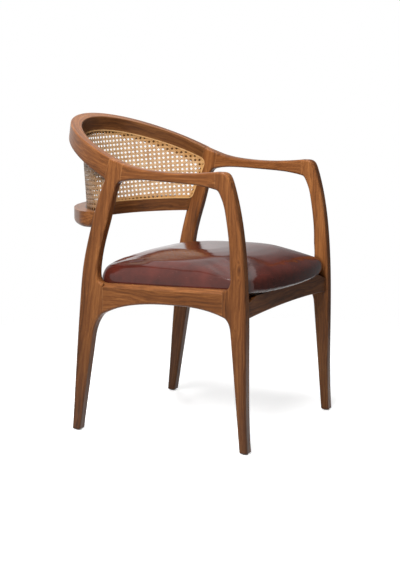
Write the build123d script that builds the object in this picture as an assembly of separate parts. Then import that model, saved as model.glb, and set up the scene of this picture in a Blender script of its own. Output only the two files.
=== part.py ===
from build123d import *
import os
from math import atan, atan2, cos, degrees, radians, sin, sqrt, tan

os.makedirs("parts", exist_ok=True)

# Sizes are in millimetres. +Z is up, the floor is Z 0, the chair faces -Y and its left is +X.

# Side frames, drawn from the side: Y runs from front to back and Z up
frame_width = 522.0  # across the outer faces of both side frames
member = 28.0  # thickness of every leg, arm and side rail
edge_round = 6.0  # rounding along the legs, arms and side rails
foot_chamfer = 2.0
head_run = 40.0  # how far the back leg is drawn into the crest before it is cut
nook_size = 4.0  # small hollow where the post meets the crest's underside
foot_depth = 22.5
front_foot = -241.0  # middle of the front feet
back_foot = 241.3  # middle of the back feet
front_face = -245.5  # front of the front legs at the seat rail
knee_depth = 41.0  # front leg under the side rail
waist_depth = 37.5  # front leg above the seat
rail_top = 398.0  # side rail at the front leg
rail_front_depth = 66.0
rail_rear_depth = 84.5
rail_bevel = 9.0  # along the outer top edge of each side rail
seat_fall = 9.0  # drop of the side rail from its front to its back end
front_joint = -184.0  # side rail to front leg
back_joint = 154.0  # side rail to back leg
arm_top = 680.0  # arm at the front leg
arm_root = 42.5  # height of the arm at the front leg
arm_joint = -164.0  # arm to front leg
elbow_joint_top = (91.0, arm_top + 11.3)  # arm to back leg
elbow_joint_low = (100.5, arm_top - 33.5)
crest_joint_top = (129.0, arm_top + 25.0)  # back leg to crest
crest_joint_low = (145.4, arm_top - 28.0)

# Back
crest_rise = 23.2  # slope of the crest's top, degrees
crest_under = 26.9  # slope of the crest's underside, degrees
crest_back = 363.6  # back of the crest's outer face, halfway up the crest
crest_lean = 8.9  # how far its outer face leans from upright, degrees
crest_middle = arm_top + 105.0  # the height at which crest_back is taken
crest_round = 3.5
lower_rail_z = 527.0
lower_rail_height = 41.0
lower_rail_half = 255.0  # outer face from the middle of the chair
lower_rail_corner = 45.0
lower_rail_radius = 320.0
lower_rail_back = 345.0
lower_rail_round = 14.0
hollow_low_radius = 289.0  # the sitter's hollow, below the lower back rail
hollow_low_corner = 40.0
hollow_low_back = 304.0
hollow_high_back = 338.2  # the sitter's hollow, above the crest
hollow_margin = 27.0

# Cane
cane_drop = 33.0  # cane's upper edge under the crest's top
cane_low = 561.0  # cane's lower edge
cane_lap = 13.0  # how far the cane laps onto each back leg
cane_corner = 18.0
cane_thickness = 1.4
spline_width = 3.0
spline_thickness = 1.5
cane_inset = 0.2  # spline under the face of the wood
cane_gap = 0.1  # clearance around the cane and its spline
cane_columns = 12  # plain openings that stand for the weave's holes
cane_first = 16.0  # where the openings start, degrees from straight to the side
cane_open_share = 0.6  # of each column's width
cane_row = 38.0
cane_opening = 24.0  # height of each opening
cane_rim = 5.0  # cane left between the openings and the wood behind it

# Seat rails and corner blocks
front_rail_face = -239.0
front_rail_thickness = 22.0
front_rail_end = 329.0  # underside at the legs
front_rail_arch = 7.0
front_rail_slope = 46.0  # length of the sloping top ends
front_rail_cut = 15.5  # depth of the sloping top ends
rail_soft = 2.0
back_rail_face = 156.0
back_rail_thickness = 24.0
back_rail_low = 325.0
block_leg = 64.0
block_height = 30.0
block_flat = 10.0

# Seat
seat_level = 380.0  # underside of the seat at the front rail's face
seat_lap = 5.0  # how far the seat swells over each side rail
seat_side_bow = 8.0
seat_front = -267.0
seat_front_bow = 32.0
seat_back = 182.0
seat_corner = 42.0  # at the front
seat_rear_corner = 20.0
seat_least_corner = 9.0
leather = 1.5
hem = 25.0
board_inset = 20.0
board_thickness = 12.0
dust_thickness = 0.8
soft_gap = 0.3
seat_crease = 27.0  # height of the cushion's widest line over its underside
seat_crown = 89.0  # height of its crown over its underside
seat_reach = 205.0  # how far in from the edge the crown is reached
seat_fullness = 2.3  # higher is fuller near the edges
seat_front_draw = 1.3  # the crown draws in more from the front than from the back
seat_back_draw = 0.7
seat_tuck = [(0, 14), (6, 9), (18, 6.2), (21, 4)]  # under the crease: height, then how far it is drawn in
seat_steps = [0, 0.5, 2, 5, 11, 21, 36, 58, 85, 115, 150]  # over the crease: how far it is drawn in

# Small parts
glue_gap = 0.2
glide_height = 3.0
glide_radius = 8.5
glide_pin = 1.4
glide_pin_length = 14.0
dowel_radius = 4.0
dowel_fit = 0.1  # glue around a dowel
dowel_end = 0.8  # glue past each dowel's ends
rail_dowel = 46.0
arm_dowel = 36.0
post_dowel = 30.0
screw_radius = 1.9
screw_head = 4.0
screw_head_height = 2.6
screw_fit = 0.1
block_screw = 28.0
block_screw_wood = 12.0  # wood left under a block screw's head
block_screw_reach = 38.0  # block screw from the corner
seat_screw = 38.0
seat_screw_reach = 30.0
staple_crown = 10.0
staple_wire = 0.6
staple_leg = 6.0
staple_edge = 5.0  # staples from the dust cover's edge
staple_pitch = 66.0

outer_x = frame_width / 2
inner_x = outer_x - member
middle_x = outer_x - member / 2
rail_back_top = rail_top - seat_fall
seat_half = inner_x + seat_lap


def plate(curves, low, high):
    """A side-view outline, made solid between two distances from the chair's middle."""
    edges = [edge for curve in curves for edge in curve.edges()]
    return extrude(Plane.YZ.offset(low) * make_face(edges), high - low)


def softened(solid, joints, radius):
    """Round the long edges of a plate, but not the edges of its joint faces."""
    sides = solid.edges().group_by(Axis.X)

    def is_free(edge):
        spot = edge @ 0.5
        for (y0, z0), (y1, z1) in joints:
            reach = sqrt((y1 - y0) ** 2 + (z1 - z0) ** 2)
            away = (spot.Y - y0) * (z1 - z0) - (spot.Z - z0) * (y1 - y0)
            if abs(away) / reach < 0.01:
                return False
        return True

    return fillet([edge for edge in sides[0] + sides[-1] if is_free(edge)], radius)


def on_both_sides(solid):
    return [solid, mirror(solid, about=Plane.YZ)]


def peg(spot, way, radius, length):
    """A cylinder with its middle at a spot and its axis along a direction."""
    return Plane(origin=spot, z_dir=way) * Cylinder(radius, length)


def dowel(spot, way, length):
    body = peg(spot, way, dowel_radius, length)
    return chamfer(body.edges().filter_by(GeomType.CIRCLE), 1.0)


def dowel_hole(spot, way, length):
    return peg(spot, way, dowel_radius + dowel_fit, length + 2 * dowel_end)


def joint_dowels(joint, shares, x):
    """Where dowels cross a joint that is seen edge on from the side, and which way they point."""
    (y0, z0), (y1, z1) = joint
    way = (0, z0 - z1, y1 - y0)
    return [((x, y0 + (y1 - y0) * s, z0 + (z1 - z0) * s), way) for s in shares]


def screw(spot, way, length):
    """A wood screw with its head's seat at a spot, its shank along a direction."""
    place = Plane(origin=spot, z_dir=way)
    base = (Align.CENTER, Align.CENTER, Align.MIN)
    shank = Cylinder(screw_radius, length, align=base)
    head = Pos(0, 0, -screw_head_height) * Cylinder(screw_head, screw_head_height, align=base)
    return place * (shank + head)


def screw_hole(spot, way, length, mouth):
    place = Plane(origin=spot, z_dir=way)
    base = (Align.CENTER, Align.CENTER, Align.MIN)
    shank = Cylinder(screw_radius + screw_fit, length + 1, align=base)
    bore = Pos(0, 0, -mouth) * Cylinder(screw_head + 0.5, mouth, align=base)
    return place * (shank + bore)


# Side rail
rail_front = ((front_joint, rail_top - rail_front_depth), (front_joint, rail_top))
rail_rear = ((back_joint, rail_top - rail_rear_depth), (back_joint, rail_back_top))
arch_spots = [(-120.0, rail_top - 51), (-50.0, rail_top - 48), (49.0, rail_top - 54), (107.0, rail_top - 66)]
rail_arch = Spline(rail_front[0], *arch_spots, rail_rear[0])
rail_over = Line(rail_front[1], rail_rear[1])
rail_curves = [rail_arch, Line(*rail_rear), rail_over, Line(*rail_front)]
rail_blank = plate(rail_curves, inner_x, outer_x)
rail_blank = chamfer(rail_blank.edges().group_by(Axis.X)[-1].sort_by(Axis.Z)[-1], rail_bevel)
bevel_low = ((front_joint, rail_top - rail_bevel), (back_joint, rail_back_top - rail_bevel))
side_rail = softened(rail_blank, [rail_front, rail_rear, bevel_low], edge_round)

# Arm
arm_front = ((arm_joint, arm_top - arm_root), (arm_joint, arm_top))
arm_rear = (elbow_joint_low, elbow_joint_top)
over_spots = [(-119.0, arm_top - 4.5), (-55.0, arm_top - 6.8), (14.0, arm_top - 3.5), (63.5, arm_top + 3.6)]
under_spots = [
    (-120.0, arm_top - 34.8),
    (-49.0, arm_top - 30.3),
    (24.0, arm_top - 27.5),
    (74.0, arm_top - 29.0),
]
arm_over = Spline(arm_front[1], *over_spots, arm_rear[1])
arm_under = Spline(arm_front[0], *under_spots, arm_rear[0])
arm_curves = [arm_over, Line(*arm_rear), arm_under, Line(*arm_front)]
arm = softened(plate(arm_curves, inner_x, outer_x), [arm_front, arm_rear], edge_round)

# Front leg: foot, knee at the seat rail, waist, and a head that turns into the arm
front_sole = ((front_foot - foot_depth / 2, glide_height), (front_foot + foot_depth / 2, glide_height))
waist_y = front_face + 6.5
shin = Line(front_sole[1], (front_face + knee_depth, rail_top - 110))
knee = Spline(shin @ 1, rail_front[0], tangents=[shin % 1, rail_arch % 0])
lap = Spline(rail_front[1], (waist_y + waist_depth, rail_top + 70), tangents=[(-1, 0.03), (0, 1)])
elbow_spots = [(-191.0, arm_top - 108), (-184.0, arm_top - 76), (-175.3, arm_top - 55)]
elbow = Spline(lap @ 1, *elbow_spots, arm_front[0], tangents=[(0, 1), arm_under % 0])
brow_spots = [(front_face, rail_top - 68), (waist_y, rail_top + 70), (-216.5, arm_top - 67)]
brow = Spline(front_sole[0], *brow_spots, (-204.0, arm_top - 24))
crown = Spline(brow @ 1, (-178.0, arm_top), tangents=[brow % 1, (1, 0)])
head = Line(crown @ 1, arm_front[1])
front_curves = [
    Line(*front_sole),
    shin,
    knee,
    Line(*rail_front),
    lap,
    elbow,
    Line(*arm_front),
    head,
    crown,
    brow,
]
front_leg = softened(plate(front_curves, inner_x, outer_x), [front_sole, rail_front, arm_front], edge_round)
front_leg = chamfer(front_leg.faces().sort_by(Axis.Z)[0].edges(), foot_chamfer)

# Back leg: foot, spandrel at the seat rail, post, and a head between arm and crest
back_sole = ((back_foot - foot_depth / 2, glide_height), (back_foot + foot_depth / 2, glide_height))
crest_end = (crest_joint_low, crest_joint_top)
calf = Line(back_sole[0], (189.6, rail_top - 153))
hock_spots = [(180.8, rail_top - 120), (168.8, rail_top - 98)]
hock = Spline(calf @ 1, *hock_spots, rail_rear[0], tangents=[calf % 1, rail_arch % 1 * -1])
heel = Spline(rail_rear[1], (170.0, rail_back_top + 41), tangents=[(1, 0), (-0.12, 1)])
post_spots = [(155.0, arm_top - 180), (138.0, arm_top - 125), (118.3, arm_top - 56)]
post_front = Spline(heel @ 1, *post_spots, arm_rear[0], tangents=[(-0.12, 1), arm_under % 1 * -1])
# the head is drawn running on into the crest, rounded, and then cut at the crest joint
crest_slope = tan(radians(crest_rise))
under_way = Vector(cos(radians(crest_under)), sin(radians(crest_under)))
nook = Vector(*crest_joint_low)
run_top = (crest_joint_top[0] + head_run, crest_joint_top[1] + head_run * crest_slope)
run_low = nook + under_way * head_run
head_over = Spline(arm_rear[1], crest_joint_top, tangents=[arm_over % 1, (1, crest_slope)])
back_spots = [(163.4, arm_top - 71), (191.8, arm_top - 162), (211.9, rail_top + 38), (223.5, rail_top - 57)]
nape_way = (Vector(*back_spots[0]) - nook).normalized()
nape = nook + nape_way * nook_size
back_edge = Spline(nape, *back_spots, (237.7, rail_top - 214), back_sole[1])
under_end = nook + under_way * nook_size
nook_curve = Spline(under_end, nape, tangents=[under_way * -1, back_edge % 0])
back_curves = [
    Line(*back_sole),
    calf,
    hock,
    Line(*rail_rear),
    heel,
    post_front,
    Line(*arm_rear),
    head_over,
    Line(crest_joint_top, run_top),
    Line(run_top, run_low),
    Line(run_low, under_end),
    nook_curve,
    back_edge,
]
run_end = (run_top, (run_low.X, run_low.Y))
back_joints = [back_sole, rail_rear, arm_rear, run_end]
back_leg = softened(plate(back_curves, inner_x, outer_x), back_joints, edge_round)
back_leg = chamfer(back_leg.faces().sort_by(Axis.Z)[0].edges(), foot_chamfer)
joint_way = (Vector(*crest_joint_low) - Vector(*crest_joint_top)).normalized()
cut_low = nook + joint_way * 0.75 * nook_size
cut_top = Vector(*crest_joint_top) - joint_way * member
crest_cut = [cut_low, cut_top, cut_top + under_way * 3 * head_run, cut_low + under_way * 3 * head_run]
cut_curves = Polyline(*crest_cut, close=True)
back_leg -= plate([cut_curves], inner_x - 1, outer_x + 1)

# The sitter's hollow, which shapes the inner faces of crest, posts, cane and lower rail
hollow_front = 60.0
low_level = lower_rail_z - hollow_margin
crest_top = crest_joint_top[1] + crest_slope * (crest_back - crest_joint_top[0])
high_level = crest_top + hollow_margin
hollow_middle = hollow_high_back - inner_x
low_centre = hollow_low_back - hollow_low_radius
low_corner_x = inner_x - hollow_low_corner
low_corner_y = low_centre + sqrt((hollow_low_radius - hollow_low_corner) ** 2 - low_corner_x**2)
turn = degrees(atan2(low_corner_y - low_centre, low_corner_x))


def back_section(level, half, corner, corner_y, radius, centre):
    """A plan outline of the back: straight sides, a corner arc at each end and one long arc."""
    corner_x = half - corner
    right_end = (half, corner_y)
    left_end = (-half, corner_y)
    edges = [
        Line((half, hollow_front), right_end),
        CenterArc((corner_x, corner_y), corner, 0, turn),
        CenterArc((0, centre), radius, turn, 180 - 2 * turn),
        CenterArc((-corner_x, corner_y), corner, 180 - turn, turn),
        Line(left_end, (-half, hollow_front)),
        Line((-half, hollow_front), (half, hollow_front)),
    ]
    return Pos(0, 0, level) * make_face([edge for item in edges for edge in item.edges()])


def hollow(grow):
    """The sitter's hollow, grown by a distance into the wood."""
    corner = hollow_low_corner + grow
    low = back_section(low_level, inner_x + grow, corner, low_corner_y, hollow_low_radius + grow, low_centre)
    half = inner_x + grow
    high = back_section(high_level, half, half, hollow_middle, half, hollow_middle)
    return loft([low, high], ruled=True)


def crest_section(level):
    centre = crest_back - outer_x - tan(radians(crest_lean)) * (level - crest_middle)
    return back_section(level, outer_x, outer_x, centre, outer_x, centre)


def side_prism(spots, corners=(), radius=0.0):
    """A side-view polygon right across the chair, with some of its corners rounded."""
    outline = make_face(Polyline(*spots, close=True).edges())
    if radius:
        picked = [v for v in outline.vertices() for y, z in corners if abs(v.X - y) + abs(v.Y - z) < 0.01]
        outline = fillet(picked, radius)
    return extrude(Plane.YZ.offset(-outer_x - 50) * outline, 2 * outer_x + 100)


# Crest rail
far_y = crest_back + 60
crest_far_top = (far_y, crest_joint_top[1] + crest_slope * (far_y - crest_joint_top[0]))
crest_far_low = (far_y, crest_joint_low[1] + tan(radians(crest_under)) * (far_y - crest_joint_low[0]))
crest_band = side_prism([crest_joint_top, crest_far_top, crest_far_low, crest_joint_low])
crest_blank = loft([crest_section(low_level), crest_section(high_level)], ruled=True)
crest = (crest_blank - hollow(0.0)) & crest_band
flats = [f for f in crest.faces().filter_by(GeomType.PLANE) if abs(f.normal_at().Z) > 0.8]
flat_edges = [e for f in flats for e in f.edges()]
crest = fillet([e for e in flat_edges if e.length > member + 1 or abs((e % 0.5).X) < 0.9], crest_round)

# Lower back rail, its ends shaped to the backs of the posts
rail_centre = lower_rail_back - lower_rail_radius
rail_corner_x = lower_rail_half - lower_rail_corner
turn_x = lower_rail_radius - lower_rail_corner
rail_corner_y = rail_centre + sqrt(turn_x**2 - rail_corner_x**2)
rail_turn = degrees(atan2(rail_corner_y - rail_centre, rail_corner_x))
rail_edges = [
    Line((lower_rail_half, hollow_front), (lower_rail_half, rail_corner_y)),
    CenterArc((rail_corner_x, rail_corner_y), lower_rail_corner, 0, rail_turn),
    CenterArc((0, rail_centre), lower_rail_radius, rail_turn, 180 - 2 * rail_turn),
    CenterArc((-rail_corner_x, rail_corner_y), lower_rail_corner, 180 - rail_turn, rail_turn),
    Line((-lower_rail_half, rail_corner_y), (-lower_rail_half, hollow_front)),
    Line((-lower_rail_half, hollow_front), (lower_rail_half, hollow_front)),
]
rail_plan = make_face([edge for item in rail_edges for edge in item.edges()])
lower_rail = extrude(Pos(0, 0, lower_rail_z) * rail_plan, lower_rail_height) - hollow(0.0)
long_edges = [e for e in lower_rail.edges() if e.bounding_box().max.Y > hollow_front + 20]
level_edges = [e for e in long_edges if e.bounding_box().size.Z < 0.01]
under_edges = [e for e in level_edges if e.center().Z < lower_rail_z + 1]
outer_under = [e for e in under_edges if abs((e @ 0.5).X) > inner_x or (e @ 0.5).Y > hollow_low_back + 15]
lower_rail = fillet(outer_under, lower_rail_round)
post_plate = plate(back_curves, inner_x - 20, outer_x + 20)
for blank in on_both_sides(back_leg):
    lower_rail -= Pos(0, glue_gap, 0) * blank
for blank in on_both_sides(post_plate):
    lower_rail -= Pos(0, glue_gap - edge_round, 0) * blank
lower_rail = lower_rail.solids().sort_by(SortBy.VOLUME)[-1]

# Cane panel, the reed spline around it, and the rebate that holds both
side_slope = (back_spots[0][0] - crest_joint_low[0]) / (back_spots[0][1] - crest_joint_low[1])


def cane_window(inset):
    """The cane's outline from the side, drawn in by a distance."""
    low_z = cane_low + inset
    drop = cane_drop + inset / cos(radians(crest_rise))
    lap_in = inset * sqrt(1 + side_slope**2) - cane_lap

    def border(z):
        return crest_joint_low[0] + side_slope * (z - crest_joint_low[1]) + lap_in

    # where the side border meets the upper border
    start = border(crest_joint_top[1] - drop)
    top_y = (start - side_slope * crest_slope * crest_joint_top[0]) / (1 - side_slope * crest_slope)
    top_z = crest_joint_top[1] - drop + crest_slope * (top_y - crest_joint_top[0])
    far_top = (far_y, crest_joint_top[1] - drop + crest_slope * (far_y - crest_joint_top[0]))
    near_low = (border(low_z), low_z)
    near_top = (top_y, top_z)
    spots = [near_low, near_top, far_top, (far_y, low_z)]
    return side_prism(spots, [near_low, near_top], cane_corner - inset)


spline_back = cane_inset + spline_thickness
cane_front = spline_back + cane_gap
cane_back = cane_front + cane_thickness
rebate = (hollow(cane_back + cane_gap) - hollow(-member / 2)) & cane_window(0.0)
cane_panel = (hollow(cane_back) - hollow(cane_front)) & cane_window(cane_gap)
column_turn = (180 - 2 * cane_first) / cane_columns
opening_width = radians(column_turn * cane_open_share) * inner_x
cane_cuts = []
for column in range(cane_columns):
    swing = cane_first + column_turn * (column + 0.5)
    nearest = hollow_middle + inner_x * sin(radians(min(swing, 180 - swing) - column_turn / 2))
    wood_low = crest_joint_low[1] + tan(radians(crest_under)) * (nearest - crest_joint_low[0])
    row_low = lower_rail_z + lower_rail_height + cane_rim
    while row_low + cane_opening + cane_rim < wood_low:
        bar = Box(inner_x, opening_width, cane_opening, align=(Align.MIN, Align.CENTER, Align.MIN))
        cane_cuts.append(Pos(0, hollow_middle, row_low) * Rot(0, 0, swing) * Pos(inner_x / 2, 0, 0) * bar)
        row_low += cane_row
cane_panel -= cane_cuts
spline_ring = cane_window(cane_gap) - cane_window(cane_gap + spline_width)
cane_spline = (hollow(spline_back) - hollow(cane_inset)) & spline_ring
crest -= rebate
lower_rail -= rebate
back_leg -= rebate

# The seat's own plane: it falls to the back with the side rails
pitch = degrees(atan(seat_fall / (back_joint - front_joint)))
seat_up = (0, sin(radians(pitch)), cos(radians(pitch)))
seat_plane = Plane(origin=(0, front_rail_face, seat_level), x_dir=(1, 0, 0), z_dir=seat_up)
above = (Align.CENTER, Align.CENTER, Align.MIN)
seat_space = seat_plane * Box(frame_width, 3 * frame_width, frame_width, align=above)


def seat_z(y):
    return seat_level - tan(radians(pitch)) * (y - front_rail_face)


# Front rail with an arched underside and sloping top ends
front_top = seat_level + 2
slope_low = seat_level - front_rail_cut
slope_start = inner_x - front_rail_slope
arch_middle = (0, front_rail_end + front_rail_arch)
front_ends = [
    ThreePointArc((-inner_x, front_rail_end), arch_middle, (inner_x, front_rail_end)),
    Line((inner_x, front_rail_end), (inner_x, slope_low)),
    Line((inner_x, slope_low), (slope_start, seat_level)),
    Line((slope_start, seat_level), (slope_start, front_top)),
    Line((slope_start, front_top), (-slope_start, front_top)),
    Line((-slope_start, front_top), (-slope_start, seat_level)),
    Line((-slope_start, seat_level), (-inner_x, slope_low)),
    Line((-inner_x, slope_low), (-inner_x, front_rail_end)),
]
front_outline = make_face([edge for item in front_ends for edge in item.edges()])
front_plane = Plane(origin=(0, front_rail_face + front_rail_thickness, 0), x_dir=(1, 0, 0), z_dir=(0, -1, 0))
front_rail = extrude(front_plane * front_outline, front_rail_thickness) - seat_space
arch_edges = [e for e in front_rail.edges().filter_by(GeomType.CIRCLE) if e.length > inner_x]
front_rail = fillet(arch_edges, rail_soft)

# Back rail, hidden under the back of the seat
back_rail_top = seat_z(back_rail_face) + 2
back_rail = Box(2 * inner_x, back_rail_thickness, back_rail_top - back_rail_low)
back_rail_y = back_rail_face + back_rail_thickness / 2
back_rail = Pos(0, back_rail_y, (back_rail_top + back_rail_low) / 2) * back_rail - seat_space


# Cushion
def seat_outline(inset, rise=0.0):
    """The seat's plan, drawn in by a distance; a share of rise rounds it as the crown does."""
    half = seat_half - inset
    edge_half = half - seat_side_bow
    front = seat_front + inset * (1 + rise * (seat_front_draw - 1)) - front_rail_face
    corner_front = front + seat_front_bow * (1 - rise * inset / seat_half)
    back = seat_back - inset * (1 + rise * (seat_back_draw - 1)) - front_rail_face
    middle = (corner_front + back) / 2
    curves = [
        ThreePointArc((-edge_half, corner_front), (0, front), (edge_half, corner_front)),
        ThreePointArc((edge_half, corner_front), (half, middle), (edge_half, back)),
        Line((edge_half, back), (-edge_half, back)),
        ThreePointArc((-edge_half, back), (-half, middle), (-edge_half, corner_front)),
    ]
    outline = make_face([edge for item in curves for edge in item.edges()])
    room = 0.8 * min(edge_half, (back - corner_front) / 2)
    flat_draw = (1 - rise) * inset
    front_round = min(max(seat_corner - flat_draw, seat_least_corner) + 10 * rise * inset, room)
    back_round = min(max(seat_rear_corner - flat_draw, seat_least_corner) + 1.5 * rise * inset, room)
    outline = fillet([v for v in outline.vertices() if v.Y < middle], front_round)
    rear = [v for v in outline.vertices() if v.Y > back - 0.01 and abs(v.X) > edge_half - 0.01]
    return fillet(rear, back_round)


def cushion(skin, base=0.0):
    """The cushion's crowned body, a skin's thickness under its outer face and flat at its base."""
    levels = [(height, inset, 0.0) for height, inset in seat_tuck]
    for inset in seat_steps:
        share = (1 - (1 - inset / seat_reach) ** seat_fullness) ** (1 / seat_fullness)
        levels.append((seat_crease + (seat_crown - seat_crease) * share, inset, 1.0))
    top = levels[-1][0]
    sections = []
    for height, inset, rise in levels:
        level = skin + height * (top - 2 * skin) / top
        if level > base:
            sections.append((level, seat_outline(inset + skin, rise)))
    if base:
        sections.insert(0, (base, seat_outline(seat_tuck[1][1] + skin)))
    return loft([Pos(0, 0, level) * outline for level, outline in sections], ruled=True)


def seat_sheet(inset, low, thickness):
    return extrude(Pos(0, 0, low) * seat_outline(inset), thickness)


seat_board = seat_sheet(board_inset, leather, board_thickness)
seat_foam = cushion(leather + soft_gap, leather + board_thickness + soft_gap)
mouth = seat_sheet(seat_tuck[0][1] + hem, -1, leather + 2)
seat_cover = cushion(0.0) - cushion(leather) - mouth
dust_low = leather - dust_thickness
dust_inset = seat_tuck[0][1] + hem + soft_gap
dust_cover = seat_sheet(dust_inset, dust_low, dust_thickness)

# Staples around the dust cover
staple_ring = seat_outline(dust_inset + staple_edge).wires()[0]
staple_count = int(staple_ring.length / staple_pitch)
staples = []
staple_slots = []
for number in range(staple_count):
    share = (number + 0.5) / staple_count
    spot = staple_ring @ share
    along = staple_ring % share
    place = Plane(origin=(spot.X, spot.Y, dust_low), x_dir=(along.X, along.Y, 0), z_dir=(0, 0, -1))
    crown_bar = Box(staple_crown, staple_wire, staple_wire, align=(Align.CENTER, Align.CENTER, Align.MIN))
    leg_low = (Align.CENTER, Align.CENTER, Align.MAX)
    staple = crown_bar
    for end in (-1, 1):
        leg_spot = Pos(end * (staple_crown - staple_wire) / 2, 0, 0)
        staple += leg_spot * Box(staple_wire, staple_wire, staple_leg, align=leg_low)
        slot = Box(staple_wire + 0.1, staple_wire + 0.1, staple_leg + 0.3, align=leg_low)
        staple_slots.append(place * leg_spot * slot)
    staples.append(place * staple)
seat_board -= staple_slots
dust_cover -= staple_slots

seat_board = seat_plane * seat_board
seat_foam = seat_plane * seat_foam
seat_cover = seat_plane * seat_cover
dust_cover = seat_plane * dust_cover
staples = [seat_plane * staple for staple in staples]

# Corner blocks, each a triangle across a corner of the seat frame, with two screws and a seat screw
block_screws = []
seat_screws = []
blocks = {}
front_back_face = front_rail_face + front_rail_thickness
side_rail_holes = []
front_rail_holes = []
back_rail_holes = []
for end, wall, inward in (("front", front_back_face, 1), ("rear", back_rail_face, -1)):
    plan = [
        (inner_x, wall),
        (inner_x - block_leg, wall),
        (inner_x - block_leg, wall + inward * block_flat),
        (inner_x - block_flat, wall + inward * block_leg),
        (inner_x, wall + inward * block_leg),
    ]
    outline = make_face(Polyline(*plan, close=True).edges())
    top = seat_z(wall + inward * block_leg / 2)
    block = extrude(Pos(0, 0, top - block_height) * outline, block_height + 10) - seat_space
    level = top - block_height / 2
    to_rail = (inner_x - block_screw_reach, wall + inward * block_screw_wood, level)
    to_side = (inner_x - block_screw_wood, wall + inward * block_screw_reach, level)
    rail_hole = screw_hole(to_rail, (0, -inward, 0), block_screw, block_leg)
    side_hole = screw_hole(to_side, (1, 0, 0), block_screw, block_leg)
    seat_spot = (inner_x - seat_screw_reach, wall + inward * seat_screw_reach, top - block_height)
    seat_hole = screw_hole(seat_spot, seat_up, seat_screw, block_height)
    block -= [rail_hole, side_hole, seat_hole]
    for part, side in zip(on_both_sides(block), ("left", "right")):
        blocks[f"corner_block_{end}_{side}"] = part
    block_screws += on_both_sides(screw(to_rail, (0, -inward, 0), block_screw))
    block_screws += on_both_sides(screw(to_side, (1, 0, 0), block_screw))
    seat_screws += on_both_sides(screw(seat_spot, seat_up, seat_screw))
    rail_cuts = on_both_sides(rail_hole)
    if end == "front":
        front_rail -= rail_cuts
    else:
        back_rail -= rail_cuts
    side_rail -= side_hole
    for cut in on_both_sides(seat_hole):
        seat_board -= cut
        seat_cover -= cut

# Dowels: each joint's pegs on the left side, drilled into both pieces, then copied to the right
front_peg_y = front_rail_face + front_rail_thickness / 2
front_pegs = [front_rail_end + (slope_low - front_rail_end) * share for share in (0.25, 0.7)]
back_pegs = [back_rail_low + (back_rail_top - back_rail_low) * share for share in (0.43, 0.77)]
pegs = {
    "arm_front_dowels": (joint_dowels(arm_front, (0.34, 0.72), middle_x), arm_dowel),
    "arm_rear_dowels": (joint_dowels(arm_rear, (0.36, 0.72), middle_x), post_dowel),
    "crest_dowels": (joint_dowels(crest_end, (0.3, 0.7), middle_x), post_dowel),
    "side_rail_front_dowels": (joint_dowels(rail_front, (0.3, 0.76), middle_x), rail_dowel),
    "side_rail_rear_dowels": (joint_dowels(rail_rear, (0.26, 0.82), middle_x), rail_dowel),
    "front_rail_dowels": ([((inner_x, front_peg_y, z), (1, 0, 0)) for z in front_pegs], post_dowel),
    "back_rail_dowels": ([((inner_x, back_rail_y, z), (1, 0, 0)) for z in back_pegs], post_dowel),
}
lower_z = [lower_rail_z + lower_rail_height * share for share in (0.32, 0.62)]
lower_x = (inner_x + lower_rail_half) / 2
(upper_y, upper_z), (under_y, under_z) = back_spots[:2]
lower_y = upper_y + (under_y - upper_y) * (upper_z - sum(lower_z) / 2) / (upper_z - under_z)
pegs["lower_rail_dowels"] = ([((lower_x, lower_y, z), (0, 1, 0)) for z in lower_z], post_dowel)


def holes(name):
    spots, length = pegs[name]
    return [dowel_hole(spot, way, length) for spot, way in spots]


def both_holes(name):
    return [copy for hole in holes(name) for copy in on_both_sides(hole)]


arm -= holes("arm_front_dowels") + holes("arm_rear_dowels")
side_rail -= holes("side_rail_front_dowels") + holes("side_rail_rear_dowels")
front_leg -= holes("arm_front_dowels") + holes("side_rail_front_dowels") + holes("front_rail_dowels")
back_leg -= holes("arm_rear_dowels") + holes("side_rail_rear_dowels") + holes("back_rail_dowels")
back_leg -= holes("crest_dowels") + holes("lower_rail_dowels")
crest -= both_holes("crest_dowels")
lower_rail -= both_holes("lower_rail_dowels")
front_rail -= both_holes("front_rail_dowels")
back_rail -= both_holes("back_rail_dowels")

# Foot glides with a pin up into each leg
glide_base = (Align.CENTER, Align.CENTER, Align.MIN)
glides = {}
pin_top = glide_height + glide_pin_length
for end, foot in (("front", front_foot), ("back", back_foot)):
    place = Pos(middle_x, foot, 0)
    disc = Cylinder(glide_radius, glide_height, align=glide_base)
    disc = fillet(disc.edges().sort_by(Axis.Z)[0], 1.0)
    glide = place * (disc + Cylinder(glide_pin, pin_top, align=glide_base))
    pin_hole = place * Cylinder(glide_pin + dowel_fit, pin_top + dowel_end, align=glide_base)
    if end == "front":
        front_leg -= pin_hole
    else:
        back_leg -= pin_hole
    for part, side in zip(on_both_sides(glide), ("left", "right")):
        glides[f"foot_glide_{end}_{side}"] = part

# Name every piece
nodes = {
    "crest_rail": crest,
    "lower_back_rail": lower_rail,
    "front_rail": front_rail,
    "back_rail": back_rail,
    "cane_panel": cane_panel,
    "cane_spline": cane_spline,
    "seat_board": seat_board,
    "seat_foam": seat_foam,
    "seat_cover": seat_cover,
    "dust_cover": dust_cover,
    "cover_staples": staples,
    "corner_block_screws": block_screws,
    "seat_screws": seat_screws,
}
for name, part in (("front_leg", front_leg), ("back_leg", back_leg), ("arm", arm), ("side_rail", side_rail)):
    for copy, side in zip(on_both_sides(part), ("left", "right")):
        nodes[f"{name}_{side}"] = copy
for name, (spots, length) in pegs.items():
    nodes[name] = [copy for spot, way in spots for copy in on_both_sides(dowel(spot, way, length))]
nodes.update(blocks)
nodes.update(glides)

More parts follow.
